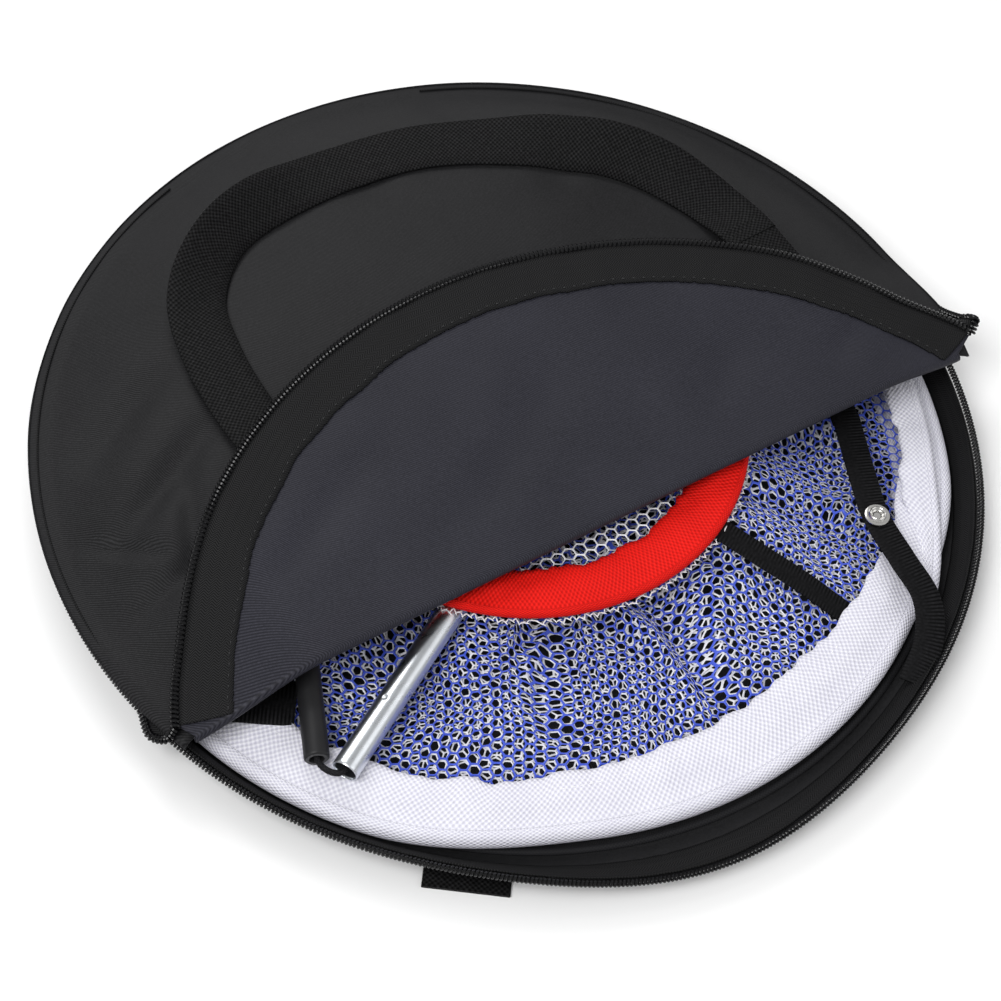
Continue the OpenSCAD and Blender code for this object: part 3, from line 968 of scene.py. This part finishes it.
def net_hem(name, wire_r, wire_z, tube, inner_at, inner_z, look, nodes, span=(0, 360), pucker=0.3, seed=0,
            shift=no_shift):
    """A strip of cloth folded round the sprung wire, with its two edges sewn to the net.

    inner_at(turn) is the radius of its inner edge. shift(turn) is how far its wire moves out, its
    inner edge moves out and both move up, and the share of its width that it keeps."""
    swept = math.radians(span[1] - span[0])
    crown_z = wire_z + 0.95 * tube
    turns = [mix(*span, i / 60) for i in range(60)]
    inner_r = sum(wire_r + (inner_at(t) - wire_r) * shift(t)[3] for t in turns) / 60

    # Round the strip: radius, height, 1 at the inner edge and 0 at the wire, and 1 on top and -1 below
    section = []
    for t in (i / 8 for i in range(9)):
        section.append((mix(inner_r, wire_r - 0.3 * tube, t), mix(inner_z, crown_z, t), 1 - t, 1))
    for a in (math.radians(mix(100, -105, i / 10)) for i in range(11)):
        section.append((wire_r + tube * math.cos(a), wire_z + tube * math.sin(a), 0, 0))
    for t in (i / 5 for i in range(6)):
        under_z = mix(wire_z - 0.9 * tube, inner_z - 1.0, t)
        section.append((mix(wire_r - 0.4 * tube, inner_r + 0.8, t), under_z, t, -1))
    last = len(section) - 1

    def place(u, v):
        turn = mix(*span, u)
        wire_out, inner_out, up, keep = shift(turn)
        radius, z, inside, layer = section[round(v * last)]
        radius += inside * (inner_at(turn) - inner_r)
        radius = wire_r + mix(wire_out, inner_out, inside) + (radius - wire_r) * (keep if inside else 1)
        z += up
        lap = polar(1, turn) * 26
        radius -= inside * (2.2 * ripple(lap.x, lap.y, 2.4, seed) + 1.8 * ripple(lap.x, lap.y, 0.9, seed + 1))
        z += inside * 0.7 * ripple(lap.x, lap.y, 4, seed + 2)
        if layer > 0:
            z += pucker * (ripple(lap.x, lap.y, 1.1, seed + 3) * (0.4 + inside)
                           + 0.5 * ripple(turn, radius, 4.5, seed + 4))
            z -= 0.5 * math.exp(-((inside - 0.28) / 0.06) ** 2)
            z += 0.9 * math.sin(math.pi * inside)
        return polar(radius, turn, z)

    girth = sum(math.hypot(b[0] - a[0], b[1] - a[1]) for a, b in zip(section, section[1:]))
    piece = sheet_grid(name, int(swept * wire_r / 2.6), last, place,
                       lambda u, v, p: (u * swept * wire_r, v * girth), span[1] - span[0] == 360)
    thicken(piece, 0.6)
    mean_length = swept * (wire_r + inner_r + 5) / 2
    cloth(piece, look, "bag_and_net", nodes, (girth, mean_length))

    seam_at = 0.28    # of the way from the inner edge to the wire
    seam = []
    for i in range(401):
        turn = mix(span[0] + 0.5, span[1] - 0.5, i / 400)
        wire_out, inner_out, up, keep = shift(turn)
        width = (mix(inner_at(turn), wire_r, seam_at) - wire_r) * keep
        seam_r = wire_r + mix(inner_out, wire_out, seam_at) + width
        seam.append(polar(seam_r, turn, mix(inner_z, crown_z, seam_at) + up + 0.6))
    return seam


def make_hems():
    lower_seam = net_hem("hem_lower", RIM_R, RIM_Z, 4, hem_inner, 16.3, "white_oxford", ["net_hem_lower"],
                         seed=3, shift=lower_shift)
    upper_seam = net_hem("hem_upper", UPPER_R, UPPER_Z, 3, lambda turn: hem_inner(turn) - 1.5,
                         UPPER_TOP - 0.2, "white_oxford", ["net_hem_upper"], (-55, 192), seed=8,
                         shift=upper_shift)
    net_hem("hem_bottom", BOTTOM_R, BOTTOM_Z, 2.5, lambda turn: BOTTOM_R - 5, 7.4, "white_oxford",
            ["net_hem_bottom"], seed=13)
    make_wire("rim_wire_lower", RIM_R, RIM_Z, RIM_WIRE, ["spring_wire_lower"], (0, 360), lower_shift)
    make_wire("rim_wire_upper", UPPER_R, UPPER_Z, COIL_WIRE, ["spring_wire_upper"], (-54, 191), upper_shift)
    for name, line in (("hem_lower_seam", lower_seam), ("hem_upper_seam", upper_seam)):
        dress(stitches(name, line, 2.6, 1.0, 0.2, 0.1), "white_net", "bag_and_net")

    red_seam = net_hem("target_hem", RED_R - 1.9, RED_Z, 1.9, lambda turn: TARGET_R, RED_Z + 0.6,
                       "red_oxford", ["red_hem"], pucker=0.25, seed=21)
    fringe = []
    for i in range(721):
        wander = 1.2 * math.sin(i * 1.9) + 0.8 * math.sin(i * 0.7)
        fringe.append(polar(RED_R + 0.6 + wander, i / 2, RED_Z - 2.6 + 0.4 * math.sin(i * 1.3)))
    dress(stitches("target_fringe", fringe, 3.0, -0.4, 0.28, 0.2), "white_net", "bag_and_net")
    dress(stitches("target_hem_seam", red_seam, 2.4, 1.1, 0.2, 0.1), "red_oxford", "bag_and_net")


HOLE_CORNER = 1.12    # how much further a net hole's corners reach than its sides


def net_mesh(name, radius, cell, hole, strand, place):
    """A knitted net of hexagons. place(x, y) gives the net's middle surface."""
    rise = cell * math.sqrt(3) / 2
    rows, per_row = int(radius / rise) + 1, int(radius / cell) + 1
    points, faces, shared, border = [], [], {}, {}

    def corner(x, y, lift):
        key = (round(x, 2), round(y, 2), lift)
        if key not in shared:
            shared[key] = len(points)
            points.append(place(x, y) + UP * lift)
        return shared[key]

    for j in range(-rows, rows + 1):
        for i in range(-per_row, per_row + 1):
            cx, cy = (i + 0.5 * (j % 2)) * cell, j * rise
            if math.hypot(cx, cy) > radius - cell / 2:
                continue
            rim, inner = [], []
            for k in range(12):
                a = math.radians(30 * k)
                reach = cell / 2 if k % 2 == 0 else cell / math.sqrt(3)
                rim.append((cx + reach * math.cos(a), cy + reach * math.sin(a)))
                hole_r = hole * (1.0 if k % 2 == 0 else HOLE_CORNER)
                inner.append(len(points))
                points.append(place(cx + hole_r * math.cos(a), cy + hole_r * math.sin(a)))
            top = [corner(x, y, strand) for x, y in rim]
            under = [corner(x, y, -strand) for x, y in rim]
            for k in range(12):
                n = (k + 1) % 12
                faces.append((inner[k], top[k], top[n], inner[n]))
                faces.append((inner[n], under[n], under[k], inner[k]))
                edge = tuple(sorted((top[k], top[n])))
                border[edge] = None if edge in border else (top[k], top[n], under[n], under[k])
    faces.extend((a, d, c, b) for a, b, c, d in filter(None, border.values()))
    return make_object(name, points, faces)


def right_of_poles(x, y):
    """0 where the poles lie and slide, and 1 well to their right."""
    return smooth(4, 40, x - (45 - 0.445 * abs(y)))


def fold_wave(x, y):
    """Radial folds that run from the red hem to the rim."""
    r, turn = math.hypot(x, y), math.atan2(y, x)
    return noise.noise(Vector((turn * 5.5 + 0.8 * ripple(x, y, 45, 31), r / 80, 30)))


def gathers(x, y):
    """The net's soft folds, from 0 on the ridges to about 1 in the valleys."""
    return min(1.0, 2.0 * abs(fold_wave(x, y)) + 0.8 * abs(ripple(x, y, 34, 33)))


def net_height(x, y):
    """Height of the gathered blue net."""
    r = math.hypot(x, y)
    slope = min(28.0, 28.0 - 0.27 * (r - 101))
    from_hem = hem_inner(heading(x, y)) - r
    low = mix(12.0, 18.6, smooth(-6, 24, from_hem))
    height = mix(low, max(slope, low), right_of_poles(x, y))
    height = mix(height, min(height, 22), smooth(98, 80, r))
    return height - 6.5 * gathers(x, y) * smooth(2, 22, from_hem)


def shifted(x, y, seed, reach, bunching=0.0):
    """Slides a point of the net sideways and bunches it along its folds, less so near its sewn edge."""
    still = mix(0.25, 1, smooth(RIM_R - 13, RIM_R - 60, math.hypot(x, y)))
    turned = Matrix.Rotation(bunching * still * fold_wave(x, y), 2) @ Vector((x, y))
    reach *= still
    return turned.x + reach * ripple(x, y, 30, seed), turned.y + reach * ripple(x, y, 30, seed + 1)


def make_nets():
    def blue_place(x, y):
        sx, sy = shifted(x, y, 41, 3.2, 0.07)
        return Vector((sx, sy, net_height(sx, sy) + 0.5 * ripple(x, y, 3, 44)))

    def white_place(x, y):
        sx, sy = shifted(x, y, 51, 4, 0.07)
        sunk = 1.2 + 7 * smooth(70, 115, sx)
        return Vector((sx, sy, net_height(sx, sy) - sunk + 0.9 * ripple(x, y, 8, 54)))

    def lining_place(x, y):
        turned = Matrix.Rotation(0.4, 2) @ Vector((x, y))
        sx, sy = shifted(turned.x, turned.y, 57, 5, 0.07)
        sunk = 2.6 + 7 * smooth(70, 115, sx)
        return Vector((sx, sy, max(net_height(sx, sy) - sunk, 5.5) + 0.9 * ripple(x, y, 9, 59)))

    def target_place(x, y):
        sx, sy = shifted(x, y, 61, 1.0)
        return Vector((sx, sy, RED_Z + 0.1 - 0.6 * (1 - (math.hypot(x, y) / TARGET_R) ** 2)
                       + 0.5 * ripple(x, y, 22, 62)))

    nets = (
        ("net_blue", RIM_R - 13, 4.6, 1.93, 0.34, blue_place, "blue_net", ["blue_mesh"]),
        ("net_white", RIM_R - 14, 4.6, 2.0, 0.3, white_place, "white_net", ["white_mesh"]),
        ("net_lining", RIM_R - 16, 4.7, 2.03, 0.3, lining_place, "white_net", []),
        ("net_target", TARGET_R + 1.2, 5.2, 2.25, 0.34, target_place, "white_net", ["target_mesh"]),
    )
    for name, radius, cell, hole, strand, place, look, nodes in nets:
        piece = net_mesh(name, radius, cell, hole, strand, place)
        solid = 1 - 3 * HOLE_CORNER * hole ** 2 / (cell ** 2 * math.sqrt(3) / 2)
        cloth(piece, look, "bag_and_net", nodes, (2 * radius, 2 * radius),
              area=max(math.pi * radius ** 2 * solid * 1.15, 0.301 * 4 * radius ** 2))


# ---------------------------------------------------------------- straps and snap

# Each strap's name, middle line, width, thickness, body, CAD node and what it rests on
STRAPS = (
    ("spacer_webbing", ((44, -86, 30.9), (54, -104, 26.8), (64, -120, 21.6), (73, -134, 15), (80, -145, 11)),
     10.5, 1.2, "bag_and_net", ["spacer_strap"], "net_blue"),
    ("snap_anchor", ((137, -34, 22.6), (134, -46, 22.8), (127, -64, 22.5)),
     12, 1.2, "bag_and_net", [], "net_blue"),
    ("snap_webbing", ((129, -60, 23.2), (117, -88, 23.1), (109, -109, 23.1), (106, -131, 23.0),
                      (104, -150, 21.6), (95, -165, 17.6), (80, -176, 12.0)),
     12, 1.2, "strap", ["snap_strap"], "hem_lower"),
    ("side_webbing", ((-166, -50, 18.6), (-155, -58, 19.2), (-142, -67, 19.0)),
     20, 1.3, "bag_and_net", ["side_strap"], "hem_lower"),
    ("stud_webbing", ((160, -16, 21.6), (150, -26, 21.7), (140, -36, 21.6)),
     11, 1.2, "bag_and_net", ["stud_tab"], "hem_upper"),
)


def make_straps():
    for name, points, width, thick, body, nodes, under in STRAPS:
        path = even_steps(rounded_line(points), 2)
        piece = sweep(name, path, webbing_section(width, thick))
        cloth(piece, "strap", body, nodes, (width, line_length(path)))


def make_snap():
    """The snap's pressed ring: a rolled flange, a raised collar and an open socket."""
    base = SNAP.z - 0.6
    profile = [(1.7, 0.2), (2.1, 0.0), (4.9, -0.2), (5.3, 0.15), (5.2, 0.6), (4.6, 0.8), (3.9, 0.75),
               (3.6, 1.2), (3.4, 1.8), (3.0, 2.0), (2.6, 1.8), (2.35, 1.1), (1.9, 0.9)]
    ring = lathe("snap_ring", profile, lambda p: Vector((SNAP.x, SNAP.y, base)) + p)
    dress(ring, "nickel", "strap", ["snap_socket"])


# ---------------------------------------------------------------- pole sections

def along_pole(end, turn):
    """Places a point given as (side, up, distance in from the open end)."""
    ahead = polar(1, turn)
    side = ahead.cross(UP)

    def place(p):
        return end + side * p.x + UP * p.y + ahead * p.z

    return place


def make_steel_tube():
    wall = 0.7
    place_plain = along_pole(TUBE_END, TUBE_HEADING)
    dimple_at, dimple_r, dimple_depth = 33, 1.7, 0.45
    outside = [0.35, 1.2, 3, 6, 12, 20, 26, *[28 + 0.6 * i for i in range(18)], 42, 60, 100, 150, 195,
               POLE_LENGTH - 0.6]
    profile = [(TUBE_R - wall, 0.3), (TUBE_R - wall * 0.7, 0.0), (TUBE_R - wall * 0.3, 0.0)]
    profile += [(TUBE_R, z) for z in outside]
    profile += [(TUBE_R - 0.2, POLE_LENGTH), (TUBE_R - wall, POLE_LENGTH), (TUBE_R - wall, 105)]

    def place(p):
        away = math.hypot(p.x + 1.6, p.z - dimple_at)
        if p.y > 0 and away < dimple_r and math.hypot(p.x, p.y) > TUBE_R - 0.1:
            sink = dimple_depth * math.cos(0.5 * math.pi * away / dimple_r) ** 2
            p = Vector((p.x, p.y - sink, p.z))
        return place_plain(p)

    tube = lathe("bright_tube", profile, place, 72)
    dress(tube, "zinc_steel", "poles", ["steel_tube"])
    # A thin sleeve of the darker steel just inside the tube's own inner wall: painted shade in the open bore.
    bore_r = TUBE_R - wall - 0.05
    bore = lathe("tube_bore_painted_shade", [(bore_r, 0.8), (bore_r, 60), (bore_r, POLE_LENGTH - 1),
                               (bore_r - 0.15, POLE_LENGTH - 1), (bore_r - 0.15, 0.8)], place_plain)
    dress(bore, "spring_steel", "poles")


def make_plastic_pole():
    bore = 2.6
    place = along_pole(PLASTIC_END, PLASTIC_HEADING)
    profile = [(bore, 1.0), (bore + 0.5, 0.0), (PLASTIC_R - 0.7, 0.0), (PLASTIC_R - 0.1, 0.5)]
    profile += [(PLASTIC_R, z) for z in (1.2, 60, 120, POLE_LENGTH)]
    profile += [(bore, POLE_LENGTH), (bore, 105)]
    dress(lathe("plastic_pole", profile, place), "black_plastic", "poles", ["black_pole"])
    low, high = bore + 0.5, PLASTIC_R - 0.75
    face = [(low, -0.08), (high, -0.08), (high, 0.05), (low, 0.05)]
    dress(lathe("pole_cut_face", face, place), "cut_plastic", "poles")


def make_pole_cord():
    """The cord runs inside both sections and bends from one open end to the other."""
    inside = (5, 16, 60, 120, POLE_LENGTH - 2)
    path = [PLASTIC_END + polar(reach, PLASTIC_HEADING) for reach in reversed(inside)]
    a, b = (PLASTIC_END + polar(reach, PLASTIC_HEADING) for reach in (1, -4))
    c, d = (TUBE_END + polar(reach, TUBE_HEADING) for reach in (-4, 1))
    for i in range(13):
        t = i / 12
        path.append((1 - t) ** 3 * a + 3 * (1 - t) ** 2 * t * b + 3 * (1 - t) * t * t * c + t ** 3 * d)
    path += [TUBE_END + polar(reach, TUBE_HEADING) for reach in inside]
    cord = sweep("pole_cord", even_steps(path, 2), round_section(1.25, 12))
    dress(cord, "elastic", "poles", ["shock_cord"])


def dress_kept_nodes():
    """CAD pieces that already have their true shape keep it, and take a material."""
    looks = {"zip_stops": "nickel", "zip_slider": "zip_metal", "zip_pull": "zip_metal",
             "spring_wire_bottom": "spring_steel", "red_hem_wire": "spring_steel",
             "snap_rivet": "nickel", "snap_stud": "nickel", "pole_end_caps": "black_plastic"}
    for node, look in looks.items():
        piece = frame["nodes"][node]
        piece.data.materials.clear()
        piece.data.materials.append(LOOKS[look])


# ---------------------------------------------------------------- floor, light and camera

# Each lamp's name, place and size in metres, and power in watts
LAMPS = (
    ("key", (-0.9, -0.3, 1.4), 0.8, 17),
    ("fill", (0.9, -1.1, 1.2), 1.2, 5),
    ("back", (0.2, 1.3, 1.3), 1.0, 13),
)


def make_stage():
    floor = make_object("floor", [(-3000, -3000, 0), (3000, -3000, 0), (3000, 3000, 0), (-3000, 3000, 0)],
                        [(0, 1, 2, 3)])
    floor.data.materials.append(Recipe("Floor", (0.93, 0.93, 0.93), 0.7).material)
    world = bpy.data.worlds.new("Studio")
    world.use_nodes = True
    sky = world.node_tree.nodes["Background"].inputs
    sky["Color"].default_value = (1, 1, 1, 1)
    sky["Strength"].default_value = 0.46
    bpy.context.scene.world = world
    bpy.context.scene.view_settings.view_transform = "Standard"
    for name, place, size, power in LAMPS:
        lamp = bpy.data.lights.new(name, "AREA")
        lamp.size = size
        lamp.energy = power
        piece = bpy.data.objects.new(name, lamp)
        piece.location = place
        piece.rotation_euler = (-Vector(place)).to_track_quat("-Z", "Y").to_euler()
        bpy.context.scene.collection.objects.link(piece)


def make_camera():
    """The camera looks down at the bag from the front left, a little rolled."""
    elevation, azimuth, roll = math.radians(55.5), math.radians(-39), math.radians(8.5)
    distance, target = 0.960, Vector((-0.0269, -0.0303, 0.03))
    right = Vector((math.cos(azimuth), math.sin(azimuth), 0))
    back = right.cross(UP) * math.cos(elevation) + UP * math.sin(elevation)
    up = back.cross(right)
    turned_right = right * math.cos(roll) + up * math.sin(roll)
    turned_up = up * math.cos(roll) - right * math.sin(roll)
    data = bpy.data.cameras.new("Camera")
    data.lens, data.sensor_width = 85, 36
    data.dof.use_dof = False
    camera = bpy.data.objects.new("Camera", data)
    turn = Matrix((turned_right, turned_up, back)).transposed()
    camera.matrix_world = Matrix.Translation(target + back * distance) @ turn.to_4x4()
    bpy.context.scene.collection.objects.link(camera)
    bpy.context.scene.camera = camera


for make in (make_base, make_base_zip, make_rear_hinge, make_lid, make_lid_zip, make_flap, make_flap_zip,
             make_carry_handle, make_handle_patches, make_lower_handle, make_hems, make_nets, make_straps,
             make_snap, make_steel_tube, make_plastic_pole, make_pole_cord, dress_kept_nodes, make_stage,
             make_camera):
    make()
